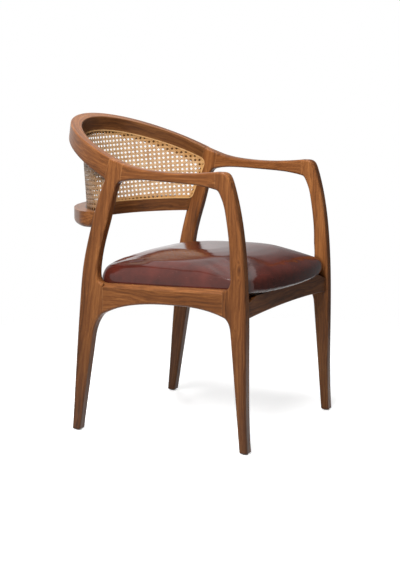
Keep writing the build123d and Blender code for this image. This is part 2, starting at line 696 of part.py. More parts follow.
# Put the origin on the floor under the middle of the chair, and write one file per piece
solids = {name: part if isinstance(part, list) else [part] for name, part in nodes.items()}
pieces = {name: [s for part in group for s in part.solids()] for name, group in solids.items()}
box = Compound([s for group in pieces.values() for s in group]).bounding_box(optimal=True)
home = Pos(-(box.min.X + box.max.X) / 2, -(box.min.Y + box.max.Y) / 2, 0)
for name, group in pieces.items():
    moved = [home * s for s in group]
    export_step(moved[0] if len(moved) == 1 else Compound(moved), f"parts/{name}.step")
print("moved by", home.position, "size", box.size, "pieces", len(pieces))
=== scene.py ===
from math import atan, atan2, cos, exp, pi, radians, sin, sqrt, tan

import bmesh
import bpy
import numpy as np
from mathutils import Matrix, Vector
from mathutils.bvhtree import BVHTree
from mathutils.geometry import convex_hull_2d


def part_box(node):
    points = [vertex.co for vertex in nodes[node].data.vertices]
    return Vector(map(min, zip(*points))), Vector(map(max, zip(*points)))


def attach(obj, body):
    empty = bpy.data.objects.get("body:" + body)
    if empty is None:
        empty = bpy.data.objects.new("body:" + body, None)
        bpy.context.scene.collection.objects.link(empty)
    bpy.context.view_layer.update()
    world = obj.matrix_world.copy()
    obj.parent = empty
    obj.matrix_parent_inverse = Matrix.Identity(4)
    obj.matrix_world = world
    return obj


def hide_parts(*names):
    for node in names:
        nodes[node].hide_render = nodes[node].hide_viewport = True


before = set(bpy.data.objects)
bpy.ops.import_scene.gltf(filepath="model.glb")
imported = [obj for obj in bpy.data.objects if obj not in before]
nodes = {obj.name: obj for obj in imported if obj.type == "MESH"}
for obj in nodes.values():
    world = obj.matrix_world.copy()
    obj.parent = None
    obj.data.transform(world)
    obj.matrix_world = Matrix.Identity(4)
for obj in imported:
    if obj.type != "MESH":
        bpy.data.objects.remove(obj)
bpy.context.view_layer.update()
scene = bpy.context.scene

MM = 0.001
# in the drawing, the front rail's face is this far in front of the origin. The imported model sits
# a little further forward, so places from the drawing are shifted in Y
RAIL_FACE = 0.239
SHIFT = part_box("front_rail")[0].y + RAIL_FACE
CREST_ANGLE = radians(23.2)
CREST_SLOPE = tan(CREST_ANGLE)


def linear(r, g, b):
    out = []
    for v in (r, g, b):
        v /= 255
        out.append(v / 12.92 if v < 0.04045 else ((v + 0.055) / 1.055) ** 2.4)
    return (*out, 1.0)


def clamp(value):
    return min(1.0, max(0.0, value))


# Materials
WHITE, BLACK = (1, 1, 1), (0, 0, 0)


class Graph:
    """A material's nodes, made and linked by short calls."""

    def __init__(self, name):
        self.material = bpy.data.materials.new(name)
        self.material.use_nodes = True
        self.tree = self.material.node_tree
        self.shader = self.tree.nodes["Principled BSDF"]

    def add(self, kind, inputs=None, **settings):
        node = self.tree.nodes.new(kind)
        for key, value in settings.items():
            setattr(node, key, value)
        for key, value in (inputs or {}).items():
            self.feed(node.inputs[key], value)
        return node

    def feed(self, socket, value):
        if isinstance(value, bpy.types.NodeSocket):
            self.tree.links.new(value, socket)
        else:
            socket.default_value = value

    def place(self):
        return self.add("ShaderNodeTexCoord").outputs["Object"]

    def facing(self):
        return self.add("ShaderNodeNewGeometry").outputs["Normal"]

    def math(self, operation, a, b=0.0):
        return self.add("ShaderNodeMath", {0: a, 1: b}, operation=operation).outputs[0]

    def total(self, *parts):
        """The sum of values, each times its weight."""
        weighted = [self.math("MULTIPLY", value, weight) for value, weight in parts]
        out = weighted[0]
        for value in weighted[1:]:
            out = self.math("ADD", out, value)
        return out

    def bell(self, distance, sharpness):
        """A value of 1 at no distance, which falls smoothly to 0."""
        square = self.math("MULTIPLY", distance, distance)
        return self.math("EXPONENT", self.math("MULTIPLY", square, -sharpness))

    def vector(self, operation, *values):
        node = self.add("ShaderNodeVectorMath", dict(enumerate(values)), operation=operation)
        return node.outputs["Value" if operation in ("DOT_PRODUCT", "LENGTH") else "Vector"]

    def split(self, vector):
        return self.add("ShaderNodeSeparateXYZ", {0: vector}).outputs

    def join(self, x, y, z):
        return self.add("ShaderNodeCombineXYZ", {0: x, 1: y, 2: z}).outputs[0]

    def mapped(self, vector, **how):
        return self.add("ShaderNodeMapping", {"Vector": vector, **how}).outputs[0]

    def noise(self, vector, scale, detail=2.0, roughness=0.5):
        inputs = {"Vector": vector, "Scale": scale, "Detail": detail, "Roughness": roughness}
        return self.add("ShaderNodeTexNoise", inputs).outputs["Fac"]

    def stretched_noise(self, vector, scale, detail=2.0, roughness=0.5):
        return self.noise(self.mapped(vector, Scale=scale), 1.0, detail, roughness)

    def ramp(self, fac, stops):
        node = self.add("ShaderNodeValToRGB", {"Fac": fac})
        elements = node.color_ramp.elements
        while len(elements) < len(stops):
            elements.new(0.5)
        for element, (place, colour) in zip(elements, stops):
            element.position = place
            element.color = colour if len(colour) == 4 else (*colour, 1.0)
        return node.outputs["Color"]

    def mix(self, fac, a, b, blend="MIX"):
        node = self.add("ShaderNodeMix", data_type="RGBA", blend_type=blend)
        self.feed(node.inputs["Factor"], fac)
        self.feed(node.inputs[6], a)
        self.feed(node.inputs[7], b)
        return node.outputs[2]

    def tint(self, colour, by):
        return self.mix(1.0, colour, by, "MULTIPLY")

    def bump(self, height, strength, distance):
        inputs = {"Height": height, "Strength": strength, "Distance": distance}
        return self.add("ShaderNodeBump", inputs).outputs["Normal"]

    def finish(self, **inputs):
        for key, value in inputs.items():
            self.feed(self.shader.inputs[key.replace("_", " ")], value)
        return self.material


# how often each layer of the grain changes in a metre, along the grain and across it
WAVE, BROAD, STREAK, FINE, PORES = (5, 16), (2.2, 38), (8, 380), (26, 800), (70, 1500)
RING_RATE = 640.0
KNOT_LENGTHENED = (1, 1, 0.35)
KNOT_BEND, KNOT_SPOT = 18000.0, 160000.0  # how sharply a knot's bend and its dark spot end
KNOT_COLOUR = linear(58, 32, 20)
# the colour of the painted highlight on sharp edges, and the radius that finds them
EDGE_HIGHLIGHT_COLOUR = linear(206, 158, 112)
EDGE_HIGHLIGHT_RADIUS = 0.0025
# how far the painted shade in close corners looks for other surfaces
SHADE_REACH = 0.012


def wood(
    name, colours, turn=(0, 0, 0), arc=None, seed=0.0, gloss=0.36, rings=1.0, knot=None, leg=False
):
    """Wood whose grain runs along X after a turn, or round an upright axis for a bent piece."""
    g = Graph(name)
    place = g.place()
    inner_shade = None
    if arc:
        centre_y, radius, slope, inner_shade_level = arc
        x, y, z = g.split(place)
        away = g.math("SUBTRACT", y, centre_y)
        along = g.math("MULTIPLY", g.math("ARCTAN2", x, away), radius)
        squares = g.math("ADD", g.math("MULTIPLY", x, x), g.math("MULTIPLY", away, away))
        level = g.math("SUBTRACT", z, g.math("MULTIPLY", y, slope))
        straight = g.join(along, g.math("SQRT", squares), level)
        # painted shade: the inner face, turned away from the lamps, is made darker
        centre = g.join(g.math("MULTIPLY", x, -1.0), g.math("MULTIPLY", away, -1.0), 0.0)
        turned = g.vector("DOT_PRODUCT", g.facing(), g.vector("NORMALIZE", centre))
        inner_shade = g.ramp(turned, [(0.45, WHITE), (0.85, (inner_shade_level, inner_shade_level * 1.02, inner_shade_level * 1.03))])
    else:
        straight = g.mapped(place, Rotation=turn)
    moved = g.mapped(straight, Location=(seed, seed * 0.37, seed * 0.71))

    def layer(vector, rate, detail, roughness=0.5):
        along, across = rate
        return g.stretched_noise(vector, (along, across, across), detail, roughness)

    # slow waves, and a knot, bend the grain
    bend = g.math("MULTIPLY", g.math("SUBTRACT", layer(moved, WAVE, 2.0), 0.5), 0.03)
    if knot:
        offset = g.vector("MULTIPLY", g.vector("SUBTRACT", place, knot), KNOT_LENGTHENED)
        from_knot = g.vector("LENGTH", offset)
        bend = g.math("ADD", bend, g.math("MULTIPLY", g.bell(from_knot, KNOT_BEND), 0.012))
    along, side, level = g.split(moved)
    across, depth = g.math("ADD", side, bend), g.math("ADD", level, bend)
    bent = g.join(along, across, depth)

    broad = layer(bent, BROAD, 3.0, 0.55)
    streak = layer(bent, STREAK, 4.0, 0.62)
    fine = layer(bent, FINE, 3.0, 0.6)
    slant = g.math("ADD", across, g.math("MULTIPLY", depth, 0.8))
    ring = g.math("SINE", g.total((slant, RING_RATE), (broad, 16.0)))
    tone = g.total((broad, 0.46), (streak, 0.36), (fine, 0.2), (ring, 0.028 * rings))
    dark, middle, light = colours
    colour = g.ramp(tone, [(0.3, dark), (0.5, middle), (0.72, light)])
    pore = g.ramp(layer(bent, PORES, 1.0), [(0.60, BLACK), (0.70, WHITE)])
    colour = g.mix(g.math("MULTIPLY", pore, 0.42), colour, dark)
    if knot:
        spot = g.bell(from_knot, KNOT_SPOT)
        colour = g.mix(g.math("MULTIPLY", spot, 0.75), colour, KNOT_COLOUR)
    # painted highlight: sharp edges are made paler, as a sheen along the arrises
    rounded = g.add("ShaderNodeBevel", {"Radius": EDGE_HIGHLIGHT_RADIUS}, samples=4).outputs["Normal"]
    edge_highlight = g.ramp(g.vector("DOT_PRODUCT", rounded, g.facing()), [(0.84, WHITE), (0.985, BLACK)])
    edge_highlight = g.math("MULTIPLY", edge_highlight, g.math("ADD", g.math("MULTIPLY", broad, 0.5), 0.04))
    colour = g.mix(edge_highlight, colour, g.mix(0.5, light, EDGE_HIGHLIGHT_COLOUR))
    # painted shade: close corners, such as the rebate behind the cane, are darkened where they are
    # occluded
    hollow = g.add("ShaderNodeAmbientOcclusion", {"Distance": SHADE_REACH}, samples=8).outputs["AO"]
    deepest_shade = 0.07 if arc else 0.4
    painted_shade = g.ramp(hollow, [(0.55, (deepest_shade, deepest_shade * 0.8, deepest_shade * 0.65)), (0.95, WHITE)])
    colour = g.tint(colour, painted_shade)
    # the painted shade on the inner face
    if inner_shade:
        colour = g.tint(colour, inner_shade)
    if leg:
        # painted shade: legs darken towards the feet, where less light falls
        uneven = g.math("MULTIPLY", g.math("SUBTRACT", broad, 0.5), 0.12)
        height = g.math("ADD", g.split(place)[2], uneven)
        colour = g.tint(colour, g.ramp(height, [(0.0, (0.6, 0.62, 0.66)), (0.34, WHITE)]))
    relief = g.math("SUBTRACT", g.math("MULTIPLY", streak, 0.5), g.math("MULTIPLY", pore, 0.6))
    return g.finish(
        Base_Color=colour,
        Roughness=g.math("ADD", g.math("MULTIPLY", fine, 0.12), gloss - 0.06),
        Normal=g.bump(relief, 0.12, 0.0005),
        Specular_IOR_Level=0.16,
        Coat_Weight=0.1,
        Coat_Roughness=0.16,
        Coat_IOR=1.35,
    )


def leather():
    g = Graph("leather")
    place = g.place()
    cloud = g.noise(place, 14.0, 4.0, 0.6)
    grain = g.add("ShaderNodeTexVoronoi", {"Vector": place, "Scale": 620.0}, feature="SMOOTH_F1")
    crease = g.noise(place, 260.0, 4.0, 0.62)
    folds = g.stretched_noise(place, (26, 26, 60), 3.0, 0.55)
    colour = g.ramp(cloud, [(0.3, linear(60, 24, 18)), (0.7, linear(88, 37, 29))])
    relief = g.total((grain.outputs["Distance"], 0.5), (crease, 0.6), (folds, 5.0))
    rough = g.math("ADD", g.math("MULTIPLY", crease, 0.08), 0.1)
    # thin level scuffs, a little paler and duller, which also serve as painted glints on the sides
    marks = g.stretched_noise(place, (60, 60, 300), 3.0, 0.6)
    scuff_and_glint = g.ramp(marks, [(0.66, BLACK), (0.76, WHITE)])
    colour = g.mix(g.math("MULTIPLY", scuff_and_glint, 0.3), colour, linear(158, 108, 96))
    return g.finish(
        Base_Color=colour,
        Roughness=g.math("ADD", rough, g.math("MULTIPLY", scuff_and_glint, 0.12)),
        Normal=g.bump(relief, 0.05, 0.0005),
        Specular_IOR_Level=0.4,
        Coat_Weight=0.12,
        Coat_Roughness=0.08,
    )


def cane(name, pale, deep):
    g = Graph(name)
    place = g.place()
    tone = g.add("ShaderNodeAttribute", attribute_name="tone").outputs["Fac"]
    edge = g.add("ShaderNodeAttribute", attribute_name="edge").outputs["Fac"]
    speck = g.noise(place, 420.0, 3.0, 0.6)
    colour = g.ramp(g.total((tone, 0.55), (speck, 0.45)), [(0.2, deep), (0.75, pale)])
    colour = g.mix(g.math("MULTIPLY", edge, 0.7), colour, linear(180, 130, 70))
    # painted shade: the outside is darker, and a painted shadow is darkest at the edge, which lies
    # deep under the rails
    level = g.vector("MULTIPLY", place, (1, 1, 0))
    outward = g.vector("NORMALIZE", g.vector("SUBTRACT", level, (0, CREST_CENTRE, 0)))
    turned = g.vector("DOT_PRODUCT", g.facing(), outward)
    outside_shade = g.ramp(turned, [(0.1, BLACK), (0.5, WHITE)])
    colour = g.mix(g.math("MULTIPLY", outside_shade, 0.5), colour, linear(122, 84, 48))
    shadow_band = g.math("MULTIPLY", outside_shade, g.ramp(edge, [(0.25, BLACK), (0.9, WHITE)]))
    colour = g.mix(g.math("MULTIPLY", shadow_band, 0.92), colour, linear(44, 28, 16))
    return g.finish(
        Base_Color=colour,
        Roughness=g.math("ADD", g.math("MULTIPLY", speck, 0.2), 0.32),
        Normal=g.bump(speck, 0.15, 0.0004),
    )


def reed():
    g = Graph("cane_spline")
    fibre = g.stretched_noise(g.place(), (160, 160, 900), 3.0, 0.6)
    colour = g.ramp(fibre, [(0.3, linear(168, 122, 72)), (0.7, linear(208, 166, 114))])
    return g.finish(Base_Color=colour, Roughness=0.45, Normal=g.bump(fibre, 0.2, 0.0004))


def metal():
    g = Graph("steel")
    brushed = g.stretched_noise(g.place(), (900, 900, 120), 3.0, 0.6)
    return g.finish(
        Base_Color=g.ramp(brushed, [(0.3, (0.42, 0.42, 0.43)), (0.7, (0.62, 0.62, 0.61))]),
        Roughness=g.math("ADD", g.math("MULTIPLY", brushed, 0.2), 0.22),
        Metallic=1.0,
        Normal=g.bump(brushed, 0.1, 0.0002),
    )


def plain(name, dark, light, scale, rough, depth):
    g = Graph(name)
    speck = g.noise(g.place(), scale, 4.0, 0.62)
    return g.finish(
        Base_Color=g.ramp(speck, [(0.3, dark), (0.7, light)]),
        Roughness=g.math("ADD", g.math("MULTIPLY", speck, 0.15), rough),
        Normal=g.bump(speck, 0.3, depth),
    )


def cloth():
    g = Graph("dust_cloth")
    place = g.place()
    fuzz = g.noise(place, 900.0, 4.0, 0.7)
    threads = g.add("ShaderNodeTexVoronoi", {"Vector": place, "Scale": 500.0}).outputs["Distance"]
    colour = g.ramp(fuzz, [(0.3, linear(20, 20, 21)), (0.7, linear(46, 45, 44))])
    relief = g.math("ADD", fuzz, g.math("MULTIPLY", threads, 0.7))
    return g.finish(Base_Color=colour, Roughness=0.85, Normal=g.bump(relief, 0.4, 0.0004))


WALNUT = (linear(52, 28, 13), linear(114, 68, 35), linear(162, 106, 59))
BEECH = (linear(178, 138, 98), linear(205, 168, 126), linear(222, 190, 150))
PLY = (linear(160, 122, 82), linear(192, 154, 110), linear(210, 176, 134))
UPRIGHT = (0, pi / 2, 0)
RAKED = (radians(-8), pi / 2, 0)
FORWARD = (0, 0, -pi / 2)
# bent pieces: the centre in Y, the radius, the slope, and how dark the painted shade on the inner
# face is
CREST_CENTRE = 0.1 + SHIFT
CREST_ARC = (CREST_CENTRE, 0.25, CREST_SLOPE, 0.5)
LOWER_ARC = (0.02 + SHIFT, 0.3, 0.0, 0.65)
KNOT = (-0.261, -0.2295 + SHIFT, 0.4505)
walnut = {
    "crest_rail": wood("walnut_crest", WALNUT, arc=CREST_ARC, seed=0.31),
    "lower_back_rail": wood("walnut_lower_rail", WALNUT, arc=LOWER_ARC, seed=1.7),
    "front_rail": wood("walnut_front_rail", WALNUT, seed=2.9),
    "back_rail": wood("walnut_back_rail", WALNUT, seed=4.3),
    "front_leg_left": wood("walnut_front_leg_left", WALNUT, UPRIGHT, seed=5.1, leg=True),
    "front_leg_right": wood(
        "walnut_front_leg_right", WALNUT, UPRIGHT, seed=6.7, knot=KNOT, leg=True
    ),
    "back_leg_left": wood("walnut_back_leg_left", WALNUT, RAKED, seed=7.9, leg=True),
    "back_leg_right": wood("walnut_back_leg_right", WALNUT, RAKED, seed=9.3, leg=True),
    "arm_left": wood("walnut_arm_left", WALNUT, FORWARD, seed=10.1),
    "arm_right": wood("walnut_arm_right", WALNUT, FORWARD, seed=11.9),
    "side_rail_left": wood("walnut_side_rail_left", WALNUT, FORWARD, seed=12.7),
    "side_rail_right": wood("walnut_side_rail_right", WALNUT, FORWARD, seed=13.9),
}
beech = wood("beech", BEECH, seed=3.3, gloss=0.55, rings=0.5)
plywood = wood("plywood", PLY, seed=8.8, gloss=0.6, rings=0.8)
leather_finish = leather()
cane_finish = cane("cane_panel", linear(194, 158, 116), linear(150, 108, 64))
reed_finish = reed()
steel = metal()
glide_finish = plain("glide", linear(206, 198, 182), linear(228, 222, 208), 300.0, 0.5, 0.0003)
cloth_finish = cloth()

fixed = {
    "seat_board": plywood,
    "cane_spline": reed_finish,
    "cane_panel": cane_finish,
    "seat_cover": leather_finish,
    "seat_foam": plain("foam", linear(208, 196, 150), linear(226, 214, 172), 700.0, 0.85, 0.0008),
    "dust_cover": cloth_finish,
}
for name, obj in nodes.items():
    if name in walnut:
        finish = walnut[name]
    elif name in fixed:
        finish = fixed[name]
    elif name.endswith("dowels"):
        finish = beech
    elif name.startswith("corner_block") and not name.endswith("screws"):
        finish = beech
    elif name.startswith("foot_glide"):
        finish = glide_finish
    else:
        finish = steel
    obj.data.materials.clear()
    obj.data.materials.append(finish)
    obj.data.polygons.foreach_set("use_smooth", [True] * len(obj.data.polygons))
    obj.data.set_sharp_from_angle(angle=radians(32))


def new_object(name, vertices, faces, finish):
    mesh = bpy.data.meshes.new(name)
    mesh.from_pydata([tuple(v) for v in vertices], [], [tuple(f) for f in faces])
    mesh.update()
    obj = bpy.data.objects.new(name, mesh)
    scene.collection.objects.link(obj)
    mesh.materials.append(finish)
    mesh.polygons.foreach_set("use_smooth", [True] * len(mesh.polygons))
    return obj


# Cane: the sheet follows the sitter's hollow, a developable surface, so its weave is laid out flat.
# Its sizes are in mm, from the drawing. Low down, the hollow is a wide arc with a bend at each end.
# High up, it is a half circle
LOW, HIGH = 500.0, 832.55
WIDE_RADIUS, WIDE_Y = 289, 15
BEND_RADIUS, BEND_X, BEND_Y = 40, 193, 172.3
BEND_UP_TO = radians(39.19)
HIGH_RADIUS, HIGH_Y = 233, 105.2
SHEET = 1.8  # the sheet's front, behind the face of the wood
STEPS = 901
angle = np.radians(np.linspace(90, 0, STEPS))
cosine, sine = np.cos(angle), np.sin(angle)
wide, bend, high = WIDE_RADIUS + SHEET, BEND_RADIUS + SHEET, HIGH_RADIUS + SHEET
low_x = np.where(angle < BEND_UP_TO, BEND_X + bend * cosine, wide * cosine)
low_y = np.where(angle < BEND_UP_TO, BEND_Y + bend * sine, WIDE_Y + wide * sine)
low_edge = np.stack([low_x, low_y, np.full(STEPS, LOW)], -1)
high_edge = np.stack([high * cosine, HIGH_Y + high * sine, np.full(STEPS, HIGH)], -1)


def beside(p, q, to_p, to_q):
    """The point on the right of p to q at a distance from each."""
    run = q - p
    length = np.linalg.norm(run)
    run = run / length
    x = (to_p**2 - to_q**2 + length**2) / (2 * length)
    return p + run * x + np.array([run[1], -run[0]]) * sqrt(max(to_p**2 - x**2, 0.0))


def gap(a, b):
    return float(np.linalg.norm(a - b))


flat_low = np.zeros((STEPS, 2))
flat_high = np.zeros((STEPS, 2))
flat_high[0] = (0.0, gap(low_edge[0], high_edge[0]))
for i in range(STEPS - 1):
    low, high = low_edge[i + 1], high_edge[i + 1]
    to_low, to_high = gap(low, low_edge[i]), gap(low, high_edge[i])
    flat_low[i + 1] = beside(flat_low[i], flat_high[i], to_low, to_high)
    rise, to_high = gap(high, low), gap(high, high_edge[i])
    flat_high[i + 1] = beside(flat_low[i + 1], flat_high[i], rise, to_high)
# past the ends of the arcs the sheet runs on flat: where Y and Z lie in the layout there
last = high_edge[-1] - low_edge[-1]
reach = float(np.hypot(last[1], last[2]))
way = (flat_high[-1] - flat_low[-1]) / reach
beside_way = np.array([way[1], -way[0]])
flat_y = (last[1] * way - last[2] * beside_way) / reach
flat_z = (last[2] * way + last[1] * beside_way) / reach
index = np.arange(STEPS)
HALVINGS = 36


def pick(table, place):
    return np.stack([np.interp(place, index, table[:, k]) for k in range(table.shape[1])], -1)


def lift(u, v, depth):
    """Points of the flat sheet, set on the hollow at a depth behind the face of the wood."""
    point = np.stack([np.abs(u), v], -1)
    near, far = np.zeros(u.shape), np.full(u.shape, STEPS - 1.0)
    for _ in range(HALVINGS):
        middle = (near + far) / 2
        a, b = pick(flat_low, middle), pick(flat_high, middle)
        line, off = b - a, point - a
        left = line[:, 0] * off[:, 1] - line[:, 1] * off[:, 0] > 0
        far = np.where(left, middle, far)
        near = np.where(left, near, middle)
    middle = (near + far) / 2
    a, b = pick(flat_low, middle), pick(flat_high, middle)
    share = ((point - a) * (b - a)).sum(-1) / ((b - a) ** 2).sum(-1)
    a3, b3 = pick(low_edge, middle), pick(high_edge, middle)
    out = a3 + (b3 - a3) * share[:, None]
    beyond = middle > STEPS - 1.5
    off = point - flat_low[-1]
    side_x = np.full(u.shape, low_edge[-1, 0])
    side = np.stack([side_x, low_edge[-1, 1] + off @ flat_y, LOW + off @ flat_z], -1)
    out[beyond] = side[beyond]
    turned = np.where(beyond, 0.0, np.interp(middle, index, angle))
    facing = np.stack([np.cos(turned), np.sin(turned), np.zeros(u.shape)], -1)
    out = out + facing * (depth - SHEET)[:, None]
    mirror = np.where(u < 0, -1.0, 1.0)
    out[:, 0] *= mirror
    facing[:, 0] *= mirror
    return out, facing


# the border seen from the side: level below, along the crest above, along the post in front
BORDER_LOW = 561
CREST_Y, CREST_Z, CREST_OVERLAP = 129, 705, 33
POST_Y, POST_Z, POST_OVERLAP = 145.4, 652, 13
POST_SLOPE = (163.4 - POST_Y) / (609 - POST_Z)
CORNER = 18.0


def border_room(point):
    """How far points are inside the cane's border, seen from the side."""
    y, z = point[:, 1], point[:, 2]
    low = z - BORDER_LOW
    top = (CREST_Z + CREST_SLOPE * (y - CREST_Y) - CREST_OVERLAP - z) * cos(CREST_ANGLE)
    post = POST_Y + POST_SLOPE * (z - POST_Z) - POST_OVERLAP
    side = (y - post) / sqrt(1 + POST_SLOPE**2)
    room = np.minimum(np.minimum(low, top), side)
    for a, b in ((low, side), (top, side)):
        inside = (a < CORNER) & (b < CORNER)
        rounded = CORNER - np.hypot(CORNER - a, CORNER - b)
        room = np.where(inside, np.minimum(room, rounded), room)
    return room


PITCH_U, PITCH_V = 12.67, 11.75
HOLE_U, HOLE_V = 2.0, 238.3  # the middle of one hole
PAIR = 1.5  # half the distance between the two strands of a pair
STRAND, DIAGONAL = 2.5, 2.6  # widths
PAIR_WAVE, DIAGONAL_WAVE = 0.2, 0.42  # how far strands swing as they pass over and under
CROWN, RIM = 0.14, 0.06  # a strand's form: half its thickness, and how far back its edges are
CUT = 1.2  # strands end this far inside the border
# the edge value also masks the painted shadow on the outside of the cane
EDGE_START, EDGE_FADE = 4, 14  # the edge's colour starts to fade here, and fades over this
COLUMNS, ROWS, DIAGONALS = range(-36, 37), range(-20, 8), range(-60, 60)
SPAN = 440.0
FLOOR_V, TOP_V = 30.0, 300.0
MIDDLE_DEPTH = 2.5
TINY = 1e-12
strand_vertices, strand_faces, strand_tone, strand_edge = [], [], [], []
rng = np.random.default_rng(7)


def add_strand(u, v, depth, width):
    """A flat strand with a crowned face along a line on the sheet, cut at the border."""
    point, facing = lift(u, v, depth)
    room = border_room(point)
    keep = room > CUT
    if not keep.any():
        return
    along = np.gradient(point, axis=0)
    along /= np.linalg.norm(along, axis=1)[:, None] + TINY
    across = np.cross(along, facing)
    across /= np.linalg.norm(across, axis=1)[:, None] + TINY
    tone = float(rng.uniform(0.0, 1.0))
    half, quarter = width / 2, width / 4
    section = [(-half, RIM), (-quarter, -CROWN), (quarter, -CROWN), (half, RIM), (0.0, CROWN)]
    ring = np.stack([point + across * s + facing * d for s, d in section], 1)
    starts = np.flatnonzero(keep & ~np.r_[False, keep[:-1]])
    ends = np.flatnonzero(keep & ~np.r_[keep[1:], False])
    count = len(section)
    for start, end in zip(starts, ends):
        if end - start < 2:
            continue
        base = len(strand_vertices)
        rows = ring[start : end + 1].reshape(-1, 3)
        strand_vertices.extend(rows)
        strand_tone.extend([tone] * len(rows))
        border = np.clip(1 - (room[start : end + 1] - EDGE_START) / EDGE_FADE, 0, 1)
        strand_edge.extend(np.repeat(border, count))
        for i in range(end - start):
            for k in range(count):
                a = base + i * count + k
                b = base + i * count + (k + 1) % count
                strand_faces.append((a, b, b + count, a + count))
        strand_faces.append(tuple(base + k for k in reversed(range(count))))
        strand_faces.append(tuple(base + (end - start) * count + k for k in range(count)))


upward = np.arange(FLOOR_V, TOP_V, PITCH_V / 4)
sideways = np.arange(-SPAN, SPAN, PITCH_U / 4)
for k in COLUMNS:
    for side in (-1, 1):
        u = np.full(upward.shape, HOLE_U + (k + 0.5) * PITCH_U + side * PAIR)
        phase = (upward - HOLE_V) / PITCH_V
        depth = MIDDLE_DEPTH + PAIR_WAVE * side * np.cos(pi * (phase + 0.5 + k))
        add_strand(u, upward, depth, STRAND)
for m in ROWS:
    for side in (-1, 1):
        v = np.full(sideways.shape, HOLE_V + (m + 0.5) * PITCH_V + side * PAIR)
        phase = (sideways - HOLE_U) / PITCH_U
        depth = MIDDLE_DEPTH - PAIR_WAVE * side * np.cos(pi * (phase + 0.5 + m))
        add_strand(sideways, v, depth, STRAND)
share = np.arange((FLOOR_V - HOLE_V) / PITCH_V, (TOP_V - HOLE_V) / PITCH_V, 0.125)
for lean in (-1, 1):
    for n in DIAGONALS:
        # diagonals cross at the middle of each side of the square holes
        u = HOLE_U + PITCH_U * (n + 0.5 + lean * share)
        v = HOLE_V + PITCH_V * share
        depth = MIDDLE_DEPTH + DIAGONAL_WAVE * lean * np.cos(2 * pi * share)
        inside = np.abs(u) < SPAN
        if inside.sum() > 6:
            add_strand(u[inside], v[inside], depth[inside], DIAGONAL)
strand_points = np.array(strand_vertices) * MM
strand_points[:, 1] += SHIFT
weave = new_object("cane_weave", strand_points, strand_faces, cane_finish)
for name, values in (("tone", strand_tone), ("edge", strand_edge)):
    values_layer = weave.data.attributes.new(name, "FLOAT", "POINT")
    values_layer.data.foreach_set("value", np.array(values, dtype=np.float32))
weave.data.set_sharp_from_angle(angle=radians(60))
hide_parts("cane_panel")
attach(weave, "root")

# Cushion: the cover's outer form, blown up a little as cloth. The seat falls a little to the back
PITCH = atan(9 / 338)
RAIL_TOP = 0.380
seat_origin = Vector((0, -RAIL_FACE + SHIFT, RAIL_TOP))
seat_up = Vector((0, sin(PITCH), cos(PITCH)))
seat_along = Vector((0, cos(PITCH), -sin(PITCH)))


def seat_height(point):
    return (point - seat_origin).dot(seat_up)


def seat_depth(point):
    return (point - seat_origin).dot(seat_along)


def hull_of(node, name):
    mesh = bpy.data.meshes.new(name)
    form = bmesh.new()
    form.from_mesh(nodes[node].data)
    result = bmesh.ops.convex_hull(form, input=form.verts)
    spare = result["geom_interior"] + result["geom_unused"]
    spare = {e for e in spare if isinstance(e, bmesh.types.BMVert)}
    bmesh.ops.delete(form, geom=list(spare), context="VERTS")
    kept = {f for f in result["geom"] if isinstance(f, bmesh.types.BMFace)}
    bmesh.ops.delete(form, geom=[f for f in form.faces if f not in kept], context="FACES_ONLY")
    bmesh.ops.recalc_face_normals(form, faces=form.faces)
    form.to_mesh(mesh)
    form.free()
    obj = bpy.data.objects.new(name, mesh)
    scene.collection.objects.link(obj)
    return obj


def apply_modifiers(obj):
    ready = obj.evaluated_get(bpy.context.evaluated_depsgraph_get())
    mesh = bpy.data.meshes.new_from_object(ready)
    obj.modifiers.clear()
    old = obj.data
    obj.data = mesh
    bpy.data.meshes.remove(old)


def even_out(obj, times):
    smoothing = obj.modifiers.new("even", "SMOOTH")
    smoothing.factor = 0.5
    smoothing.iterations = times
    apply_modifiers(obj)


def fill_out(mesh):
    """Bring every point that lies inside the cover's form out to it."""
    for v in mesh.vertices:
        spot, normal, _, _ = cover_form.find_nearest(v.co)
        if (v.co - spot).dot(normal) < 0:
            v.co = spot


cushion = hull_of("seat_cover", "seat_cushion")
form = bmesh.new()
form.from_mesh(cushion.data)
cover_form = BVHTree.FromBMesh(form)
form.free()
cover_flat = [Vector((v.co.x, seat_depth(v.co))) for v in cushion.data.vertices]
outline = np.array([cover_flat[i] for i in convex_hull_2d(cover_flat)])
remesh = cushion.modifiers.new("remesh", "REMESH")
remesh.mode = "VOXEL"
remesh.voxel_size = 0.005
apply_modifiers(cushion)
even_out(cushion, 3)
fill_out(cushion.data)

# the outline as straight sides, each with its normal and its distance from the middle
NEARLY_NONE = 1e-6
middle_along = (outline[:, 1].max() + outline[:, 1].min()) / 2
outline -= (0.0, middle_along)
run = np.roll(outline, -1, 0) - outline
run_length = np.hypot(run[:, 0], run[:, 1])
real = run_length > NEARLY_NONE
outline, run, run_length = outline[real], run[real], run_length[real]
side_normal = np.stack([run[:, 1], -run[:, 0]], -1) / run_length[:, None]
side_offset = (side_normal * outline).sum(1)
side_normal *= np.sign(side_offset)[:, None]
side_offset = np.abs(side_offset)


def bearing_of(point):
    """The direction of a point from the middle of the seat, and its distance."""
    x, y = point.x, seat_depth(point) - middle_along
    return atan2(y, x), sqrt(x * x + y * y)


def outline_at(bearing):
    """How far the cover's outline is from its middle."""
    facing = side_normal @ np.array([cos(bearing), sin(bearing)])
    ahead = facing > NEARLY_NONE
    return float((side_offset[ahead] / facing[ahead]).min())


